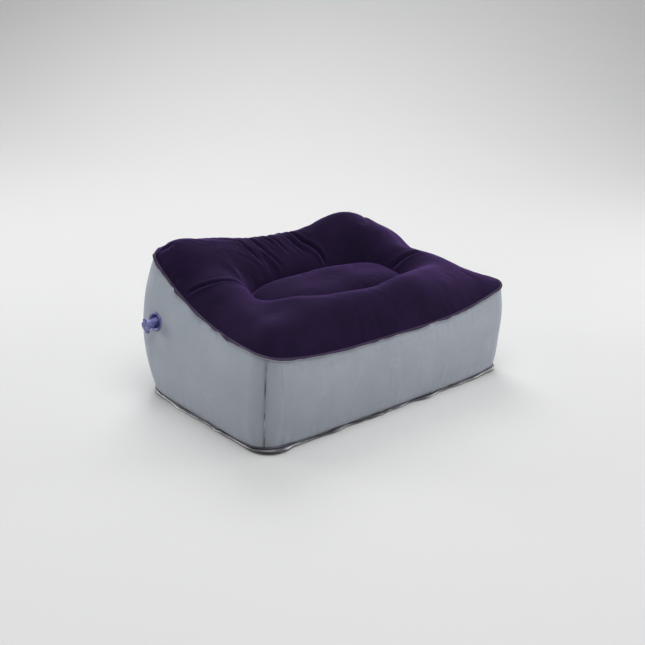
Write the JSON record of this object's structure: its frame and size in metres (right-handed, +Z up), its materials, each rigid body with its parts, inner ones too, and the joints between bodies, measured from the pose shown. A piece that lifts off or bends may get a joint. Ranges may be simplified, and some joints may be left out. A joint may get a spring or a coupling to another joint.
{
  "type": "inflatable leg rest cushion",
  "caption": "Wedge-shaped inflatable leg rest with a flocked dished top, welded film walls, an inner tether band and a plugged air valve.",
  "frame": {"origin": "centre of the base panel's resting face, on the floor", "axes": "+X along the long front, -Y towards the low front, +Y towards the high rear, +Z up"},
  "size_m": [0.5016, 0.275, 0.218],
  "materials": {
    "crown_flock": "flocked",
    "wall_flock": "flocked",
    "base_film": "gloss",
    "tether_film": "matt",
    "valve_vinyl": "gloss"
  },
  "bodies": {
    "envelope": {"front_right_wall": "wall_flock", "rear_left_wall": "wall_flock", "base_panel": "base_film", "tether_base_ring": "tether_film", "tether_band": "tether_film", "valve_seat_ring": "valve_vinyl", "valve_collar": "valve_vinyl"},
    "crown": {"top_panel": "crown_flock", "tether_top_ring": "tether_film"},
    "stem": {"valve_stem": "valve_vinyl", "plug_strap": "valve_vinyl"},
    "flap": {"valve_flap": "valve_vinyl"},
    "plug": {"valve_plug": "valve_vinyl"}
  },
  "joints": [
    {"name": "crown_sink", "type": "slide", "parent": "envelope", "child": "crown", "axis": [0, 0, 1], "range_m": [-0.02, 0], "stiffness_N_per_m": 6000, "deforming": ["front_right_wall", "rear_left_wall", "tether_band"]},
    {"name": "stem_push", "type": "slide", "parent": "envelope", "child": "stem", "axis": [-0.9803, -0.093, -0.1745], "range_m": [-0.009, 0], "deforming": ["valve_collar"]},
    {"name": "plug_swing", "type": "hinge", "parent": "stem", "child": "plug", "pos_m": [-0.25583, 0.08659, 0.10625], "axis": [0.0916, -0.9957, 0.0163], "range_deg": [0, 110], "deforming": ["plug_strap"]},
    {"name": "flap_swing", "type": "hinge", "parent": "stem", "child": "flap", "pos_m": [-0.23428, 0.08886, 0.12349], "axis": [0.0916, -0.9957, 0.0163], "range_deg": [0, 60], "stiffness_Nm_per_rad": 0.0005}
  ]
}
